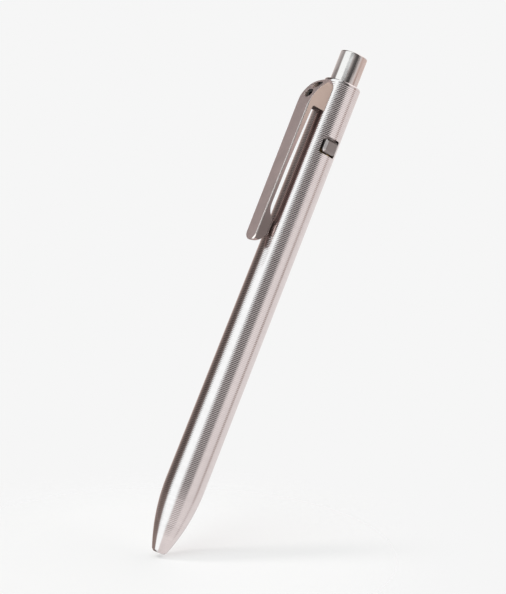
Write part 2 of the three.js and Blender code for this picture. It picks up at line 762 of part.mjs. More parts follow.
function refillGroup() {
  const ball = piece("refill_ball", new THREE.SphereGeometry(BALL_RADIUS, 12, 8), plainSteel());
  ball.position.z = NIB_SETBACK + BALL_RADIUS;
  const inkTop = inkBottom + INK_LENGTH;
  const followerTop = inkTop + SEAT + FOLLOWER_LENGTH;
  const tube = ring(REFILL_RADIUS - REFILL_WALL, REFILL_RADIUS, tubeBottom, tubeTop, SMALL_ROUND);
  return new THREE.Group().add(
    piece("refill_tube", tube, clearPlastic()),
    piece("refill_tip", tipGeometry(), plainSteel()),
    piece("refill_tip_holder", tipHolderGeometry(), whitePlastic()),
    ball,
    piece("refill_end_plug", endPlugGeometry(), whitePlastic()),
    piece("ink_column", bar(inkRadius, inkBottom, inkTop), ink()),
    piece("ink_follower", bar(inkRadius, inkTop + SEAT, followerTop), grease()),
    piece("return_spring", returnSpringGeometry(), springSteel()),
  );
}

const pen = new THREE.Group();
pen.add(barrelGroup(), guideGroup(), plungerGroup(), latchGroup(), refillGroup());

export default pen;
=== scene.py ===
"""A retractable metal pen with a knob on top, a square button in its side and a screwed-on clip.

Metres. The pen stands upright on its axis, +Z, with the nose end at the origin,
the clip on the -Y side and the side button on the +X side.
"""
import json
import math

import bpy
from mathutils import Matrix, Vector


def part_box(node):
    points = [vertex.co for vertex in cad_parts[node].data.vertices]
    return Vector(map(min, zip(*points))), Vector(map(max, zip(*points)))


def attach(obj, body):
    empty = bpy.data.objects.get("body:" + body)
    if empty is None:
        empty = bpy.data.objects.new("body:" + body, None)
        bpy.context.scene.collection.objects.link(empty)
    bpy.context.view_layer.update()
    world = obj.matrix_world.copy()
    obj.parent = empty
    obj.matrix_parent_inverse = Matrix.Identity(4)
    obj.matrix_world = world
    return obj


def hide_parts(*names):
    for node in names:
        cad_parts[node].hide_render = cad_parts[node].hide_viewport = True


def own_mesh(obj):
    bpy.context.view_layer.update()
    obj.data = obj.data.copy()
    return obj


MM = 0.001
MERGE_DISTANCE = MM / 1000  # between corners that are one

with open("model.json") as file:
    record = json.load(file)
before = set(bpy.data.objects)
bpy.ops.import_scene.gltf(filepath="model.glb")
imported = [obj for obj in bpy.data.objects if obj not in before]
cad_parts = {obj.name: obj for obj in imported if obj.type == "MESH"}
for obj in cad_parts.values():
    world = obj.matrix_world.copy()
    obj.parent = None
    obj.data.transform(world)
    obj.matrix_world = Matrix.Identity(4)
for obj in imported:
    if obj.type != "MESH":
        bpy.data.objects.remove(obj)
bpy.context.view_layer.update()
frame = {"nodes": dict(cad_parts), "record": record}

# The photograph: the lens and where the camera stands
SENSOR = 36
LENS = 135.827
CAMERA_AZIMUTH = math.radians(-36.87)
CAMERA_DISTANCE = 620 * MM
CAMERA_HEIGHT = 19 * MM
AIM_HEIGHT = 75.162 * MM
AIM_TO_SIDE = -1.601 * MM
ROLL = math.radians(21.5157)

# Barrel
TOP = 140.1 * MM
HAIRLINE = 0.006 * MM
GRIP_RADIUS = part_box("front_barrel")[1].x
TOP_RADIUS = 5.3 * MM
NOSE_LENGTH = 20 * MM
NOSE_END_RADIUS = 1.95 * MM
NOSE_EDGE = 0.6 * MM
TOP_EDGE_DROP = 0.6 * MM
TOP_EDGE_INSET = 0.35 * MM
NIB_HOLE_RADIUS = 1.25 * MM
SPRING_ROOM_RADIUS = 2.3 * MM
SPRING_ROOM_BOTTOM = 3 * MM
SPRING_ROOM_TOP = 7.8 * MM
BORE_RADIUS = 3.3 * MM
SOCKET_RADIUS = 4.5 * MM
SOCKET_BOTTOM = 50.95 * MM
SPIGOT_RADIUS = 4.45 * MM
SPIGOT_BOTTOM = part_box("rear_barrel")[0].z
SHOULDER = 60 * MM
RING_GROOVE_RADIUS = 3.85 * MM
RING_GROOVE_BOTTOM = 58.25 * MM
RING_GROOVE_TOP = 58.95 * MM
CHAMBER_RADIUS = 4.02 * MM
CHAMBER_BOTTOM = 118.3 * MM
TURNING_STEPS = 96
GROOVE_CREASE = 20  # degrees, from which an edge of the grooved barrel stays sharp

# Grooves turned round the barrel
GROOVE_PITCH = 0.5 * MM
GROOVE_DEPTH = 0.05 * MM
GROOVES_BEGIN = 1.5 * MM
GROOVES_FULL = 9 * MM
GROOVE_SHAPE = ((0.0, 1.0), (0.2, 0.14), (0.5, 0.0), (0.8, 0.14))

# Window of the side button
BUTTON_LEVEL = 121.5 * MM
WINDOW_WIDTH = 5.6 * MM
WINDOW_HEIGHT = 5.05 * MM
WINDOW_CORNER = 0.6 * MM

# Widths of the softened edges
CLIP_SOFTENING = 0.06 * MM
SCREW_SOFTENING = 0.04 * MM
BUTTON_SOFTENING = 0.05 * MM
KNOB_SOFTENING = 0.05 * MM

# A face is a slope or a side where these parts of its normal are larger
SLOPE = 0.3
SIDE = 0.8
INNER = 0.5

# Marked facets, along the milled edges and in the screws' sockets: tone and roughness. The milled edges are
# smoother and carry a painted highlight; the sockets carry painted shade.
MILLED_EDGE_PAINTED_HIGHLIGHT = ((0.97, 0.84, 0.80), 0.25)
SOCKET_PAINTED_SHADE = ((0.03, 0.027, 0.027), 0.6)

# A screw's facets belong to its socket within a distance of its axis and between two depths
SOCKET_REACH = 0.72 * MM
SOCKET_RIM = 0.02 * MM
SOCKET_DEPTH = 0.68 * MM

# Painted light and shade over marked facets: mark, heights between which the tone grows, half width, share
# and tone
# On the clip: painted shade on the sides towards the toe, painted light (a warm, lighter reflection) on the
# sides towards the foot, painted shade on the inner face near the foot and on the faces that face down
CLIP_PAINTED_LIGHT_AND_SHADE = (
    ("side_face", (118 * MM, 96 * MM), None, 0.85, (0.22, 0.18, 0.17)),
    ("side_face", (118 * MM, 130 * MM), None, 0.8, (0.76, 0.615, 0.535)),
    ("inner_face", (139 * MM, 138 * MM), 1.25 * MM, 0.8, (0.12, 0.09, 0.085)),
    ("under_face", (112 * MM, 116 * MM), None, 0.9, (0.08, 0.06, 0.055)),
)
# On the button: a painted highlight on the slope next to the clip and painted shade on the upper slope
BUTTON_PAINTED_LIGHT_AND_SHADE = (
    ("near_slope", None, None, 1.0, (0.66, 0.58, 0.565)),
    ("upper_slope", None, None, 1.0, (0.06, 0.045, 0.04)),
)

# Studio
BACKDROP = 0.9216
FLOOR_COLOUR = (0.985, 0.945, 0.93, 1)
FLOOR_GLOW = 0.6  # share of plain backdrop white in the paper, for the camera
FLOOR_TILT = math.radians(12)
FLOOR_RADIUS = 90 * MM
FLOOR_SIDES = 96
FLOOR_DROP = 0.2 * MM  # below the lowest edge of the nose
FLOOR_FADE = (0.45 * FLOOR_RADIUS, 0.98 * FLOOR_RADIUS)
LAMP_STRENGTH = 0.9
LAMP_SIZE = math.radians(12)
LAMP_TO_LEFT = 0.6


# Working with shapes

def deselect():
    if bpy.context.object and bpy.context.object.mode != "OBJECT":
        bpy.ops.object.mode_set(mode="OBJECT")
    bpy.ops.object.select_all(action="DESELECT")


def make_active(piece):
    deselect()
    piece.select_set(True)
    bpy.context.view_layer.objects.active = piece


def lone_vertex(name, place):
    """A new piece with a single vertex, from which an outline is drawn."""
    deselect()
    bpy.ops.mesh.primitive_plane_add(size=MM)
    piece = bpy.context.object
    piece.name = name
    bpy.ops.object.mode_set(mode="EDIT")
    bpy.ops.mesh.select_all(action="SELECT")
    bpy.ops.mesh.merge(type="CENTER")
    bpy.ops.transform.translate(value=place)
    return piece


def draw_outline(name, points):
    """Extrudes a vertex from point to point and back to the first, and leaves the piece in edit mode."""
    piece = lone_vertex(name, points[0])
    for start, end in zip(points, points[1:] + points[:1]):
        step = Vector(end) - Vector(start)
        bpy.ops.mesh.extrude_region_move(TRANSFORM_OT_translate={"value": step})
    bpy.ops.mesh.select_all(action="SELECT")
    bpy.ops.mesh.remove_doubles(threshold=MERGE_DISTANCE)
    return piece


def close_up():
    bpy.ops.mesh.select_all(action="SELECT")
    bpy.ops.mesh.remove_doubles(threshold=MERGE_DISTANCE)
    bpy.ops.mesh.normals_make_consistent(inside=False)
    bpy.ops.object.mode_set(mode="OBJECT")


def turned(name, outline):
    """A piece turned on the pen's axis from a closed outline of (radius, height) points."""
    piece = draw_outline(name, [(radius, 0, height) for radius, height in outline])
    bpy.ops.mesh.select_all(action="SELECT")
    bpy.ops.mesh.spin(steps=TURNING_STEPS, angle=2 * math.pi, center=(0, 0, 0), axis=(0, 0, 1))
    close_up()
    return piece


def arc(centre, radii, start, end, steps):
    """Points on a stretch of an ellipse, angles in degrees."""
    points = []
    for i in range(steps + 1):
        angle = math.radians(start + (end - start) * i / steps)
        points.append((centre[0] + radii[0] * math.cos(angle), centre[1] + radii[1] * math.sin(angle)))
    return points


def apply_modifier(piece, kind, **values):
    make_active(piece)
    modifier = piece.modifiers.new(kind.lower(), kind)
    for key, value in values.items():
        setattr(modifier, key, value)
    bpy.ops.object.modifier_apply(modifier=modifier.name)


def cut_away(piece, tool):
    """Takes the tool's shape out of the piece, and removes the tool."""
    apply_modifier(piece, "BOOLEAN", operation="DIFFERENCE", object=tool, solver="EXACT")
    bpy.data.objects.remove(tool)


def soften(piece, width, angle):
    """Rounds the edges that are sharper than an angle in degrees."""
    apply_modifier(
        piece, "BEVEL", width=width, segments=2, limit_method="ANGLE",
        angle_limit=math.radians(angle), use_clamp_overlap=False,
    )


def smooth(piece, angle=35):
    make_active(piece)
    bpy.ops.object.shade_smooth_by_angle(angle=math.radians(angle))


def joined_copy(node, flat=0):
    """A copy of a solid with its corners joined, and its facets too where they turn by less than flat."""
    source = frame["nodes"][node]
    piece = bpy.data.objects.new(node + "_finished", source.data.copy())
    bpy.context.scene.collection.objects.link(piece)
    piece.data.materials.clear()
    make_active(piece)
    bpy.ops.object.mode_set(mode="EDIT")
    bpy.ops.mesh.select_all(action="SELECT")
    bpy.ops.mesh.remove_doubles(threshold=MERGE_DISTANCE)
    if flat:
        bpy.ops.mesh.dissolve_limited(angle_limit=flat)
    bpy.ops.object.mode_set(mode="OBJECT")
    return piece


def refined_copy(node, width, angle=30):
    """A copy of a solid with its facets merged and its edges softened."""
    piece = joined_copy(node, math.radians(1))
    soften(piece, width, angle)
    smooth(piece)
    apply_modifier(piece, "WEIGHTED_NORMAL", keep_sharp=True, weight=100)
    return piece


def mark_facets(piece, name, chosen):
    """Marks the facets that get another tone and roughness, such as milled edges with a painted highlight,
    sockets with painted shade, and faces with painted light and shade.
    """
    marked = piece.data.attributes.new(name, "FLOAT", "FACE")
    for face in piece.data.polygons:
        marked.data[face.index].value = 1.0 if chosen(face) else 0.0


def finished_clip():
    """The slopes between the clip's broad faces are smoother from the milling cutter and carry a painted
    highlight; the sides, the inner face and the downward faces are marked for painted light and shade.
    """
    piece = refined_copy("clip", CLIP_SOFTENING, 22)
    mark_facets(piece, "marked_facet", lambda face: min(abs(face.normal.x), abs(face.normal.y)) > SLOPE)
    mark_facets(piece, "side_face", lambda face: abs(face.normal.x) > SIDE)
    mark_facets(piece, "inner_face", lambda face: face.normal.y > INNER)
    mark_facets(piece, "under_face", lambda face: face.normal.z < -INNER)
    return piece


def finished_button():
    """The slope next to the clip has a painted highlight, and the upper one painted shade."""
    piece = refined_copy("side_button", BUTTON_SOFTENING)
    mark_facets(piece, "near_slope", lambda face: min(face.normal.x, -face.normal.y) > SLOPE)
    mark_facets(piece, "upper_slope", lambda face: min(face.normal.x, face.normal.z) > SLOPE)
    return piece


def finished_screw(node):
    """The screw's socket is painted dark inside, as painted shade in the recess."""
    piece = refined_copy(node, SCREW_SOFTENING)
    low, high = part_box(node)
    level = (low.z + high.z) / 2

    def in_socket(face):
        off_axis = math.hypot(face.center.x, face.center.z - level)
        return off_axis < SOCKET_REACH and SOCKET_RIM < face.center.y - low.y < SOCKET_DEPTH

    mark_facets(piece, "marked_facet", in_socket)
    return piece


def return_spring():
    """The spring round the refill's tip, with round wire."""
    piece = joined_copy("return_spring")
    smooth(piece, 70)
    return piece


def shorten_spring(piece):
    """Gives the spring its own copy of its mesh."""
    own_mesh(piece)


# Barrel

def barrel_radius(height):
    """The outside of the barrel: an arc along the nose, then a slow taper."""
    if height < NOSE_LENGTH:
        drop = GRIP_RADIUS - NOSE_END_RADIUS
        arc_radius = (NOSE_LENGTH ** 2 + drop ** 2) / (2 * drop)
        below = NOSE_LENGTH - height
        return GRIP_RADIUS - arc_radius + math.sqrt(arc_radius ** 2 - below ** 2)
    along = (height - NOSE_LENGTH) / (TOP - NOSE_LENGTH)
    return GRIP_RADIUS + (TOP_RADIUS - GRIP_RADIUS) * along


def grooved_outline(low, high):
    """The outside between two heights, with a groove's bottom at each end."""
    points = []
    for groove in range(round((high - low) / GROOVE_PITCH)):
        for share, depth in GROOVE_SHAPE:
            height = low + (groove + share) * GROOVE_PITCH
            fade = (height - GROOVES_BEGIN) / (GROOVES_FULL - GROOVES_BEGIN)
            cut = GROOVE_DEPTH * depth * min(1, max(0, fade))
            points.append((barrel_radius(height) - cut, height))
    points.append((barrel_radius(high) - GROOVE_DEPTH, high))
    return points


def front_barrel():
    outline = [(NIB_HOLE_RADIUS, 0)]
    outline += arc((barrel_radius(0) - NOSE_EDGE, NOSE_EDGE), (NOSE_EDGE, NOSE_EDGE), -90, 0, 5)[:-1]
    outline += grooved_outline(GROOVE_PITCH, SHOULDER)[:-1]
    outline += [
        (barrel_radius(SHOULDER) - GROOVE_DEPTH, SHOULDER - HAIRLINE),
        (SOCKET_RADIUS, SHOULDER - HAIRLINE),
        (SOCKET_RADIUS, SOCKET_BOTTOM),
        (BORE_RADIUS, SOCKET_BOTTOM),
        (BORE_RADIUS, SPRING_ROOM_TOP),
        (SPRING_ROOM_RADIUS, SPRING_ROOM_TOP),
        (SPRING_ROOM_RADIUS, SPRING_ROOM_BOTTOM),
        (NIB_HOLE_RADIUS, SPRING_ROOM_BOTTOM),
    ]
    piece = turned("front_barrel_grooved", outline)
    smooth(piece, GROOVE_CREASE)
    return piece


def window_cutter():
    """A block with rounded corners that opens the wall for the side button."""
    deselect()
    bpy.ops.mesh.primitive_cube_add(size=1, location=(TOP_RADIUS, 0, BUTTON_LEVEL))
    piece = bpy.context.object
    piece.scale = (2 * TOP_RADIUS, WINDOW_WIDTH, WINDOW_HEIGHT)
    bpy.ops.object.transform_apply(location=True, rotation=True, scale=True)
    bpy.ops.object.mode_set(mode="EDIT")
    bpy.ops.mesh.select_mode(type="EDGE")
    bpy.ops.mesh.select_all(action="DESELECT")
    bpy.ops.object.mode_set(mode="OBJECT")
    for edge in piece.data.edges:
        first, second = (piece.data.vertices[i].co for i in edge.vertices)
        edge.select = abs(first.x - second.x) > TOP_RADIUS
    bpy.ops.object.mode_set(mode="EDIT")
    bpy.ops.mesh.bevel(offset=WINDOW_CORNER, segments=5, affect="EDGES")
    bpy.ops.object.mode_set(mode="OBJECT")
    return piece


def rear_barrel():
    lip_start = TOP - TOP_EDGE_DROP
    grooves_top = SHOULDER + math.floor((lip_start - SHOULDER) / GROOVE_PITCH) * GROOVE_PITCH
    outline = [
        (BORE_RADIUS, SPIGOT_BOTTOM),
        (SPIGOT_RADIUS, SPIGOT_BOTTOM),
        (SPIGOT_RADIUS, RING_GROOVE_BOTTOM),
        (RING_GROOVE_RADIUS, RING_GROOVE_BOTTOM),
        (RING_GROOVE_RADIUS, RING_GROOVE_TOP),
        (SPIGOT_RADIUS, RING_GROOVE_TOP),
        (SPIGOT_RADIUS, SHOULDER),
    ]
    outline += grooved_outline(SHOULDER, grooves_top)[:-1]
    outline += arc((TOP_RADIUS - TOP_EDGE_INSET, lip_start), (TOP_EDGE_INSET, TOP_EDGE_DROP), 0, 90, 10)
    outline += [
        (CHAMBER_RADIUS, TOP),
        (CHAMBER_RADIUS, CHAMBER_BOTTOM),
        (BORE_RADIUS, CHAMBER_BOTTOM),
    ]
    piece = turned("rear_barrel_grooved", outline)
    cut_away(piece, window_cutter())
    smooth(piece, GROOVE_CREASE)
    return piece


# Materials

def new_group(name, inputs, outputs):
    group = bpy.data.node_groups.new(name, "ShaderNodeTree")
    for socket, kind, value in inputs:
        made = group.interface.new_socket(name=socket, in_out="INPUT", socket_type=kind)
        if value is not None:
            made.default_value = value
    for socket, kind in outputs:
        group.interface.new_socket(name=socket, in_out="OUTPUT", socket_type=kind)
    return group, group.nodes.new("NodeGroupInput"), group.nodes.new("NodeGroupOutput")


def add(tree, kind, inputs=None, **values):
    """A node with its settings and its inputs: numbers, colours or other nodes' sockets.
    In a Mix node the numbers 0 to 3 are the factor and two values, and 6 and 7 are two colours.
    """
    node = tree.nodes.new("ShaderNode" + kind)
    for key, value in values.items():
        setattr(node, key, value)
    for key, value in (inputs or {}).items():
        if isinstance(value, bpy.types.NodeSocket):
            tree.links.new(value, node.inputs[key])
        else:
            node.inputs[key].default_value = value
    return node


def tool_marks_group():
    """Fine parallel marks left by a cutting tool, with a slow unevenness over them."""
    group, given, out = new_group(
        "tool_marks",
        [("Vector", "NodeSocketVector", None), ("Stretch", "NodeSocketVector", (1, 1, 1)),
         ("Density", "NodeSocketFloat", 4000.0)],
        [("Marks", "NodeSocketFloat"), ("Patches", "NodeSocketFloat")],
    )
    stretched = add(group, "VectorMath", {0: given.outputs["Vector"], 1: given.outputs["Stretch"]},
                    operation="MULTIPLY")
    marks = add(group, "TexNoise", {"Vector": stretched.outputs[0], "Scale": given.outputs["Density"],
                                    "Detail": 3.0, "Roughness": 0.6})
    patches = add(group, "TexNoise", {"Vector": given.outputs["Vector"], "Scale": 260.0,
                                      "Detail": 4.0, "Roughness": 0.55})
    group.links.new(marks.outputs[0], out.inputs["Marks"])
    group.links.new(patches.outputs[0], out.inputs["Patches"])
    return group


def handling_group():
    """Light smudges and short scratches from being carried and handled."""
    group, given, out = new_group(
        "handling",
        [("Vector", "NodeSocketVector", None)],
        [("Smudges", "NodeSocketFloat"), ("Scratches", "NodeSocketFloat")],
    )
    smudges = add(group, "TexNoise", {"Vector": given.outputs["Vector"], "Scale": 90.0, "Detail": 6.0,
                                      "Roughness": 0.6, "Distortion": 0.6})
    soft = add(group, "MapRange", {"Value": smudges.outputs[0], "From Min": 0.45, "From Max": 0.75})
    cells = add(group, "TexVoronoi", {"Vector": given.outputs["Vector"], "Scale": 700.0},
                feature="DISTANCE_TO_EDGE")
    thin = add(group, "MapRange", {"Value": cells.outputs["Distance"], "From Min": 0.0, "From Max": 0.02,
                                   "To Min": 1.0, "To Max": 0.0})
    few = add(group, "Math", {0: thin.outputs[0], 1: soft.outputs[0]}, operation="MULTIPLY")
    group.links.new(soft.outputs[0], out.inputs["Smudges"])
    group.links.new(few.outputs[0], out.inputs["Scratches"])
    return group


TOOL_MARKS = tool_marks_group()
HANDLING = handling_group()


def metal(name, light, dark, roughness, rougher, stretch, density, bump, turn=0.0, facets=None):
    """A machined metal: its light and dark tones, its roughness range and the run of its tool marks.
    With facets given, the marked facets have that tone and roughness: a painted highlight on milled edges,
    painted shade in sockets.
    """
    material = bpy.data.materials.new(name)
    material.use_nodes = True
    tree = material.node_tree
    tree.nodes.clear()
    place = add(tree, "TexCoord")
    mapped = add(tree, "Mapping", {"Vector": place.outputs["Object"], "Rotation": (turn, 0, 0)})
    marks = add(tree, "Group", node_tree=TOOL_MARKS)
    tree.links.new(mapped.outputs[0], marks.inputs["Vector"])
    marks.inputs["Stretch"].default_value = stretch
    marks.inputs["Density"].default_value = density
    wear = add(tree, "Group", node_tree=HANDLING)
    tree.links.new(place.outputs["Object"], wear.inputs["Vector"])
    blend = add(tree, "Math", {0: marks.outputs["Marks"], 1: marks.outputs["Patches"]}, operation="MULTIPLY")
    spread = add(tree, "MapRange", {"Value": blend.outputs[0], "From Min": 0.12, "From Max": 0.4})
    tone = add(tree, "Mix", {0: spread.outputs[0], 6: (*dark, 1), 7: (*light, 1)}, data_type="RGBA")
    rough = add(tree, "MapRange", {"Value": marks.outputs["Patches"], "From Min": 0.35, "From Max": 0.65,
                                   "To Min": roughness, "To Max": rougher})
    smeared = add(tree, "Math", {0: wear.outputs["Smudges"], 1: 0.08, 2: rough.outputs[0]},
                  operation="MULTIPLY_ADD")
    height = add(tree, "Math", {0: wear.outputs["Scratches"], 1: -0.6, 2: marks.outputs["Marks"]},
                 operation="MULTIPLY_ADD")
    relief = add(tree, "Bump", {"Height": height.outputs[0], "Strength": 1.0, "Distance": bump * MM})
    colour, polish = tone.outputs[2], smeared.outputs[0]
    if facets:
        marked = add(tree, "Attribute", attribute_name="marked_facet")
        facet_tone, facet_polish = facets
        toned = add(tree, "Mix", {0: marked.outputs["Fac"], 6: colour, 7: (*facet_tone, 1)},
                    data_type="RGBA")
        polished = add(tree, "Mix", {0: marked.outputs["Fac"], 2: polish, 3: facet_polish})
        colour, polish = toned.outputs[2], polished.outputs[0]
    shader = add(tree, "BsdfPrincipled", {
        "Base Color": colour, "Metallic": 1.0, "Roughness": polish, "Normal": relief.outputs[0],
    })
    out = add(tree, "OutputMaterial")
    tree.links.new(shader.outputs[0], out.inputs[0])
    return material


def paint_light_and_shade(material, rows):
    """Blends painted light and shade over marked facets. Each grows between two heights, or is even without
    them, and one with a half width keeps to the middle of the piece.
    """
    tree = material.node_tree
    shader = next(node for node in tree.nodes if node.type == "BSDF_PRINCIPLED")
    colour = shader.inputs["Base Color"].links[0].from_socket
    place = add(tree, "TexCoord")
    parts = add(tree, "SeparateXYZ", {0: place.outputs["Object"]})
    off_middle = add(tree, "Math", {0: parts.outputs[0]}, operation="ABSOLUTE")
    for name, heights, half_width, most, tone in rows:
        marked = add(tree, "Attribute", attribute_name=name)
        share = add(tree, "Math", {0: marked.outputs["Fac"], 1: most}, operation="MULTIPLY")
        if heights:
            along = add(tree, "MapRange", {"Value": parts.outputs[2], "From Min": heights[0],
                                           "From Max": heights[1]})
            share = add(tree, "Math", {0: along.outputs[0], 1: share.outputs[0]}, operation="MULTIPLY")
        if half_width:
            across = add(tree, "MapRange", {"Value": off_middle.outputs[0], "From Min": 1.2 * half_width,
                                            "From Max": half_width})
            share = add(tree, "Math", {0: across.outputs[0], 1: share.outputs[0]}, operation="MULTIPLY")
        toned = add(tree, "Mix", {0: share.outputs[0], 6: colour, 7: (*tone, 1)}, data_type="RGBA")
        colour = toned.outputs[2]
    tree.links.new(colour, shader.inputs["Base Color"])
    return material


def plain(name, colour, roughness, mottle=0.08, transmission=0.0):
    """A plastic, ink or rubber with a faint mottle."""
    material = bpy.data.materials.new(name)
    material.use_nodes = True
    tree = material.node_tree
    tree.nodes.clear()
    place = add(tree, "TexCoord")
    grain = add(tree, "TexNoise", {"Vector": place.outputs["Object"], "Scale": 900.0, "Detail": 4.0})
    darker = tuple(c * (1 - mottle) for c in colour)
    tone = add(tree, "Mix", {0: grain.outputs[0], 6: (*darker, 1), 7: (*colour, 1)}, data_type="RGBA")
    rough = add(tree, "MapRange", {"Value": grain.outputs[0], "To Min": roughness * 0.8,
                                   "To Max": roughness * 1.2})
    relief = add(tree, "Bump", {"Height": grain.outputs[0], "Strength": 0.1, "Distance": 0.02 * MM})
    shader = add(tree, "BsdfPrincipled", {
        "Base Color": tone.outputs[2], "Roughness": rough.outputs[0], "Normal": relief.outputs[0],
        "Transmission Weight": transmission,
    })
    out = add(tree, "OutputMaterial")
    tree.links.new(shader.outputs[0], out.inputs[0])
    return material


def all_materials():
    round_the_axis = (0.1, 0.1, 1)
    lengthwise = (1, 1, 0.06)
    return {
        "barrel_metal": metal("barrel_metal", (0.73, 0.65, 0.64), (0.69, 0.61, 0.60), 0.09, 0.12,
                              round_the_axis, 1800.0, 0.0003),
        "knob_metal": metal("knob_metal", (0.70, 0.625, 0.605), (0.67, 0.60, 0.58), 0.07, 0.09,
                            round_the_axis, 2500.0, 0.0004),
        # The clip's milled slopes carry a painted highlight, and its faces painted light and shade
        "clip_metal": paint_light_and_shade(
            metal("clip_metal", (0.64, 0.495, 0.475), (0.555, 0.43, 0.41), 0.62, 0.68,
                  lengthwise, 3000.0, 0.002, 0.7, MILLED_EDGE_PAINTED_HIGHLIGHT),
            CLIP_PAINTED_LIGHT_AND_SHADE),
        "button_metal": paint_light_and_shade(
            metal("button_metal", (0.33, 0.285, 0.275), (0.28, 0.24, 0.23), 0.36, 0.42,
                  lengthwise, 3000.0, 0.002, 0.3),
            BUTTON_PAINTED_LIGHT_AND_SHADE),
        "screw_steel": metal("screw_steel", (0.55, 0.50, 0.49), (0.45, 0.41, 0.40), 0.22, 0.30,
                             (1, 1, 1), 2500.0, 0.001),
        # The sockets of the clip screws carry painted shade
        "clip_screw_steel": metal("clip_screw_steel", (0.15, 0.13, 0.13), (0.10, 0.09, 0.09), 0.42, 0.5,
                                  (1, 1, 1), 2500.0, 0.001, 0.0, SOCKET_PAINTED_SHADE),
        "spring_steel": metal("spring_steel", (0.52, 0.51, 0.50), (0.42, 0.41, 0.40), 0.22, 0.30,
                              (1, 1, 1), 2500.0, 0.001),
        "brass": metal("brass", (0.62, 0.47, 0.23), (0.52, 0.38, 0.18), 0.22, 0.30,
                       round_the_axis, 2500.0, 0.001),
        "clear_plastic": plain("clear_plastic", (0.85, 0.87, 0.88), 0.3, transmission=0.6),
        "white_plastic": plain("white_plastic", (0.86, 0.86, 0.85), 0.4),
        "ink": plain("ink", (0.02, 0.02, 0.04), 0.2),
        "follower_grease": plain("follower_grease", (0.72, 0.60, 0.28), 0.35),
        "seal_rubber": plain("seal_rubber", (0.02, 0.02, 0.02), 0.6, mottle=0.2),
    }


# Studio

# The rings of light that the metal reflects, in rows of angle from the camera, brightness and tint.
# Each ring belongs to a height of the reflected direction, and the next one is mixed over it.
BRIGHTEST = 1.52
WHITE = (1, 1, 1)
WARM = (1, 0.84, 0.78)
COOL = (0.87, 0.98, 1)
LEVEL_LIGHTS = (
    (-180, 0.92, WARM), (-160, 0.6, WARM), (-140, 0.25, WARM), (-125, 0.1, WARM), (-106, 0.03, WARM),
    (-95, 0.08, WARM), (-84, 0.2, WARM), (-72, 1.52, COOL), (-29, 1.52, COOL), (-21, 0.5, WHITE),
    (-10, 0.12, WHITE), (24, 0.12, WHITE), (36, 0.87, WHITE), (77, 0.85, WHITE), (80, 0.4, WARM),
    (94, 0.4, WARM), (98, 0.93, WHITE), (160, 0.95, WHITE), (180, 0.92, WARM),
)
UPPER_LIGHTS = (
    (-180, 0.92, WARM), (-160, 0.6, WARM), (-140, 0.3, WARM), (-106, 0.05, WARM), (-88, 0.2, WARM),
    (-80, 1.52, COOL), (-34, 1.52, COOL), (-27, 0.25, WHITE), (-19, 0.04, WHITE), (36, 0.04, WHITE),
    (47, 0.92, WHITE), (77, 0.85, WHITE), (80, 0.4, WARM), (94, 0.4, WARM), (98, 0.93, WHITE),
    (160, 0.95, WHITE), (180, 0.92, WARM),
)
KNOB_LIGHTS = (
    (-180, 0.9, WARM), (-140, 0.7, WHITE), (-112, 0.6, WHITE), (-98, 0.55, WHITE), (-89, 0.6, WHITE),
    (-82, 1.52, COOL), (-8, 1.52, COOL), (3, 0.75, WHITE), (18, 0.22, WHITE), (36, 0.11, WHITE),
    (50, 0.16, WHITE), (64, 0.8, WHITE), (78, 0.78, WARM), (160, 0.8, WARM), (180, 0.9, WARM),
)
RAISED_LIGHTS = (
    (-180, 0.92, WARM), (-160, 0.6, WARM), (-140, 0.2, WARM), (-106, 0.05, WARM), (-86, 0.1, WARM),
    (-74, 1.52, COOL), (-22, 1.52, COOL), (-12, 0.2, WHITE), (34, 0.15, WHITE), (46, 0.92, WHITE),
    (180, 0.95, WHITE),
)
TOP_LIGHTS = (
    (-180, 1.45, WHITE), (-150, 0.15, WHITE), (-86, 0.1, WHITE), (-70, 1.52, COOL), (-22, 1.52, COOL),
    (-12, 0.4, WHITE), (34, 0.4, WHITE), (50, 1.45, WHITE), (180, 1.45, WHITE),
)
ZENITH_LIGHTS = (
    (-180, 1.45, WHITE), (-150, 0.15, WHITE), (-86, 0.1, WHITE), (-70, 1.52, COOL), (-26, 1.52, COOL),
    (-16, 0.08, WHITE), (34, 0.08, WHITE), (50, 1.45, WHITE), (180, 1.45, WHITE),
)
LOW_LIGHTS = (
    (-180, 0.35, WHITE), (-164, 0.45, WARM), (-150, 0.35, WARM), (-86, 0.35, WARM), (-74, 1.52, COOL),
    (-25, 1.52, COOL), (-14, 1.05, WHITE), (40, 1.0, WHITE), (140, 0.95, WHITE), (158, 0.4, WHITE),
    (180, 0.35, WHITE),
)
FLOOR_LIGHTS = (
    (-180, 0.8, WARM), (-150, 0.15, WARM), (-86, 0.12, WARM), (-74, 1.52, COOL), (-25, 1.52, COOL),
    (-14, 0.9, WHITE), (180, 0.95, WHITE),
)
LIGHT_LAYERS = (
    (LOW_LIGHTS, 0.06, -0.4),
    (FLOOR_LIGHTS, -0.5, -0.65),
    (UPPER_LIGHTS, 0.02, 0.17),
    (KNOB_LIGHTS, 0.189, 0.194),
    (UPPER_LIGHTS, 0.21, 0.22),
    (RAISED_LIGHTS, 0.25, 0.5),
    (TOP_LIGHTS, 0.55, 0.75),
    (ZENITH_LIGHTS, 0.76, 0.86),
)


def share_of_turn(angle):
    """Where an angle from the camera lies on a colour ramp that runs once round."""
    return (angle + 180) / 360


def ring_of_light(tree, share, lights):
    """A colour ramp round the horizon from (angle from the camera, brightness, tint) rows."""
    ramp = add(tree, "ValToRGB", {0: share})
    stops = ramp.color_ramp.elements
    while len(stops) > 1:
        stops.remove(stops[-1])
    for i, (angle, brightness, tint) in enumerate(lights):
        stop = stops[0] if i == 0 else stops.new(share_of_turn(angle))
        stop.position = share_of_turn(angle)
        stop.color = (*(brightness / BRIGHTEST * part for part in tint), 1)
    return ramp.outputs[0]


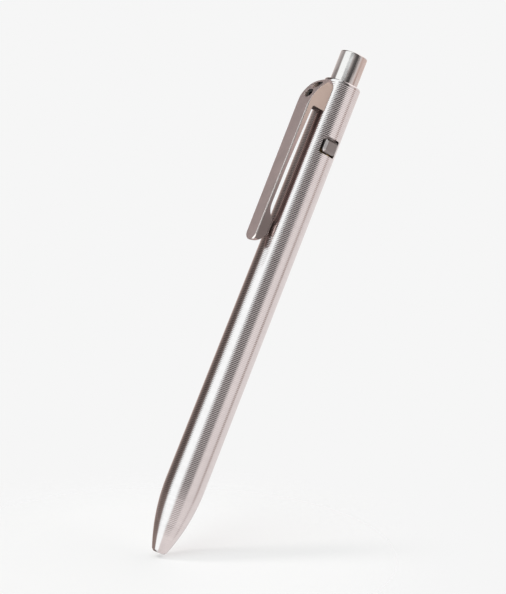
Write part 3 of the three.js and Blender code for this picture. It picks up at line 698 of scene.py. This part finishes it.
def studio_world():
    """White all round for the camera, and for the metal a ring of soft lights and dark gaps."""
    world = bpy.data.worlds.new("studio")
    bpy.context.scene.world = world
    world.use_nodes = True
    tree = world.node_tree
    tree.nodes.clear()
    direction = add(tree, "TexCoord")
    parts = add(tree, "SeparateXYZ", {0: direction.outputs["Generated"]})
    turn = add(tree, "Math", {0: parts.outputs[1], 1: parts.outputs[0]}, operation="ARCTAN2")
    relative = add(tree, "Math", {0: turn.outputs[0], 1: CAMERA_AZIMUTH}, operation="SUBTRACT")
    wrapped = add(tree, "Math", {0: relative.outputs[0], 1: math.pi, 2: -math.pi}, operation="WRAP")
    share = add(tree, "MapRange", {"Value": wrapped.outputs[0], "From Min": -math.pi, "From Max": math.pi})
    lit = ring_of_light(tree, share.outputs[0], LEVEL_LIGHTS)
    for lights, none_at, full_at in LIGHT_LAYERS:
        ring = ring_of_light(tree, share.outputs[0], lights)
        share_of_ring = add(tree, "MapRange", {"Value": parts.outputs[2], "From Min": none_at,
                                               "From Max": full_at})
        lit = add(tree, "Mix", {0: share_of_ring.outputs[0], 6: lit, 7: ring}, data_type="RGBA").outputs[2]
    bright = add(tree, "Background", {"Color": lit, "Strength": BRIGHTEST})
    white = add(tree, "Background", {"Color": (BACKDROP, BACKDROP, BACKDROP, 1), "Strength": 1.0})
    path = add(tree, "LightPath")
    seen = add(tree, "Math", {0: path.outputs["Is Camera Ray"], 1: path.outputs["Is Transmission Ray"]},
               operation="MAXIMUM")
    chosen = add(tree, "MixShader", {0: seen.outputs[0], 1: bright.outputs[0], 2: white.outputs[0]})
    out = add(tree, "OutputWorld")
    tree.links.new(chosen.outputs[0], out.inputs[0])


def camera_stand():
    """Where the camera stands, and its directions: right, up and back."""
    out = Vector((math.cos(CAMERA_AZIMUTH), math.sin(CAMERA_AZIMUTH), 0))
    side = Vector((-out.y, out.x, 0))
    place = out * CAMERA_DISTANCE + Vector((0, 0, CAMERA_HEIGHT))
    aim = side * AIM_TO_SIDE + Vector((0, 0, AIM_HEIGHT))
    back = (place - aim).normalized()
    right = Vector((0, 0, 1)).cross(back).normalized()
    up = back.cross(right)
    turned_right = math.cos(ROLL) * right + math.sin(ROLL) * up
    turned_up = math.cos(ROLL) * up - math.sin(ROLL) * right
    return place, turned_right, turned_up, back


def floor_normal():
    """The floor is level in the photograph, where the pen leans, and tilts a little towards the camera."""
    _, _, up, back = camera_stand()
    return math.cos(FLOOR_TILT) * up + math.sin(FLOOR_TILT) * back


def floor():
    """White paper under the nose that fades into the backdrop, and that can't be seen from below."""
    normal = floor_normal()
    drop = NOSE_END_RADIUS * math.sqrt(1 - normal.z ** 2) + FLOOR_DROP
    deselect()
    bpy.ops.mesh.primitive_circle_add(
        vertices=FLOOR_SIDES, radius=FLOOR_RADIUS, fill_type="NGON", location=-drop * normal,
        rotation=normal.to_track_quat("Z", "Y").to_euler(),
    )
    bpy.ops.object.transform_apply(location=True, rotation=True, scale=True)
    piece = bpy.context.object
    piece.name = "floor"
    material = bpy.data.materials.new("floor_paper")
    material.use_nodes = True
    tree = material.node_tree
    tree.nodes.clear()
    paper = add(tree, "BsdfDiffuse", {"Color": FLOOR_COLOUR})
    clear = add(tree, "BsdfTransparent")
    place = add(tree, "TexCoord")
    reach = add(tree, "VectorMath", {0: place.outputs["Object"]}, operation="LENGTH")
    fade = add(tree, "MapRange", {"Value": reach.outputs["Value"], "From Min": FLOOR_FADE[0],
                                  "From Max": FLOOR_FADE[1]}, interpolation_type="SMOOTHSTEP")
    below = add(tree, "NewGeometry")
    gone = add(tree, "Math", {0: fade.outputs[0], 1: below.outputs["Backfacing"]}, operation="MAXIMUM")
    glow = add(tree, "Emission", {"Color": (BACKDROP, BACKDROP, BACKDROP, 1), "Strength": 1.0})
    path = add(tree, "LightPath")
    share = add(tree, "Math", {0: path.outputs["Is Camera Ray"], 1: FLOOR_GLOW}, operation="MULTIPLY")
    seen = add(tree, "MixShader", {0: share.outputs[0], 1: paper.outputs[0], 2: glow.outputs[0]})
    surface = add(tree, "MixShader", {0: gone.outputs[0], 1: seen.outputs[0], 2: clear.outputs[0]})
    out = add(tree, "OutputMaterial")
    tree.links.new(surface.outputs[0], out.inputs[0])
    piece.data.materials.append(material)
    piece.visible_glossy = False


def key_light():
    """A lamp above the pen and to its left in the photograph, for the shadow at the nose."""
    _, right, up, _ = camera_stand()
    light = bpy.data.lights.new("soft_key", "SUN")
    light.energy = LAMP_STRENGTH
    light.angle = LAMP_SIZE
    lamp = bpy.data.objects.new("soft_key", light)
    bpy.context.scene.collection.objects.link(lamp)
    towards = up - LAMP_TO_LEFT * right
    lamp.rotation_euler = towards.to_track_quat("Z", "Y").to_euler()
    lamp.visible_glossy = False


def photo_camera():
    data = bpy.data.cameras.new("photo_camera")
    data.lens = LENS
    data.sensor_width = SENSOR
    data.sensor_fit = "AUTO"
    data.clip_start = 0.01
    camera = bpy.data.objects.new("photo_camera", data)
    bpy.context.scene.collection.objects.link(camera)
    place, right, up, back = camera_stand()
    rotation = Matrix((right, up, back)).transposed().to_4x4()
    camera.matrix_world = Matrix.Translation(place) @ rotation
    bpy.context.scene.camera = camera


# Assembly

def place_piece(piece, nodes, body, slot, materials, look=None):
    """Gives the piece its material, which is the slot's own unless another look is named."""
    piece.data.materials.clear()
    piece.data.materials.append(materials[look or slot])
    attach(piece, body)
    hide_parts(*nodes)


def main():
    bpy.context.scene.view_settings.view_transform = "Standard"
    materials = all_materials()
    slots = {row["node"]: row["material_slot"] for row in frame["record"]["subparts"]}
    for name, node in frame["nodes"].items():
        node.data.materials.clear()
        node.data.materials.append(materials[slots[name]])
    place_piece(front_barrel(), ["front_barrel"], "barrel", "barrel_metal", materials)
    place_piece(rear_barrel(), ["rear_barrel"], "barrel", "barrel_metal", materials)
    place_piece(finished_clip(), ["clip"], "barrel", "clip_metal", materials)
    for node in ("clip_screw_upper", "clip_screw_lower"):
        place_piece(finished_screw(node), [node], "barrel", "screw_steel", materials, "clip_screw_steel")
    place_piece(finished_button(), ["side_button"], "button", "button_metal", materials)
    knob = refined_copy("click_knob", KNOB_SOFTENING, 50)
    place_piece(knob, ["click_knob"], "plunger", "knob_metal", materials)
    spring = return_spring()
    place_piece(spring, ["return_spring"], "barrel", "spring_steel", materials)
    shorten_spring(spring)
    studio_world()
    floor()
    key_light()
    photo_camera()


main()
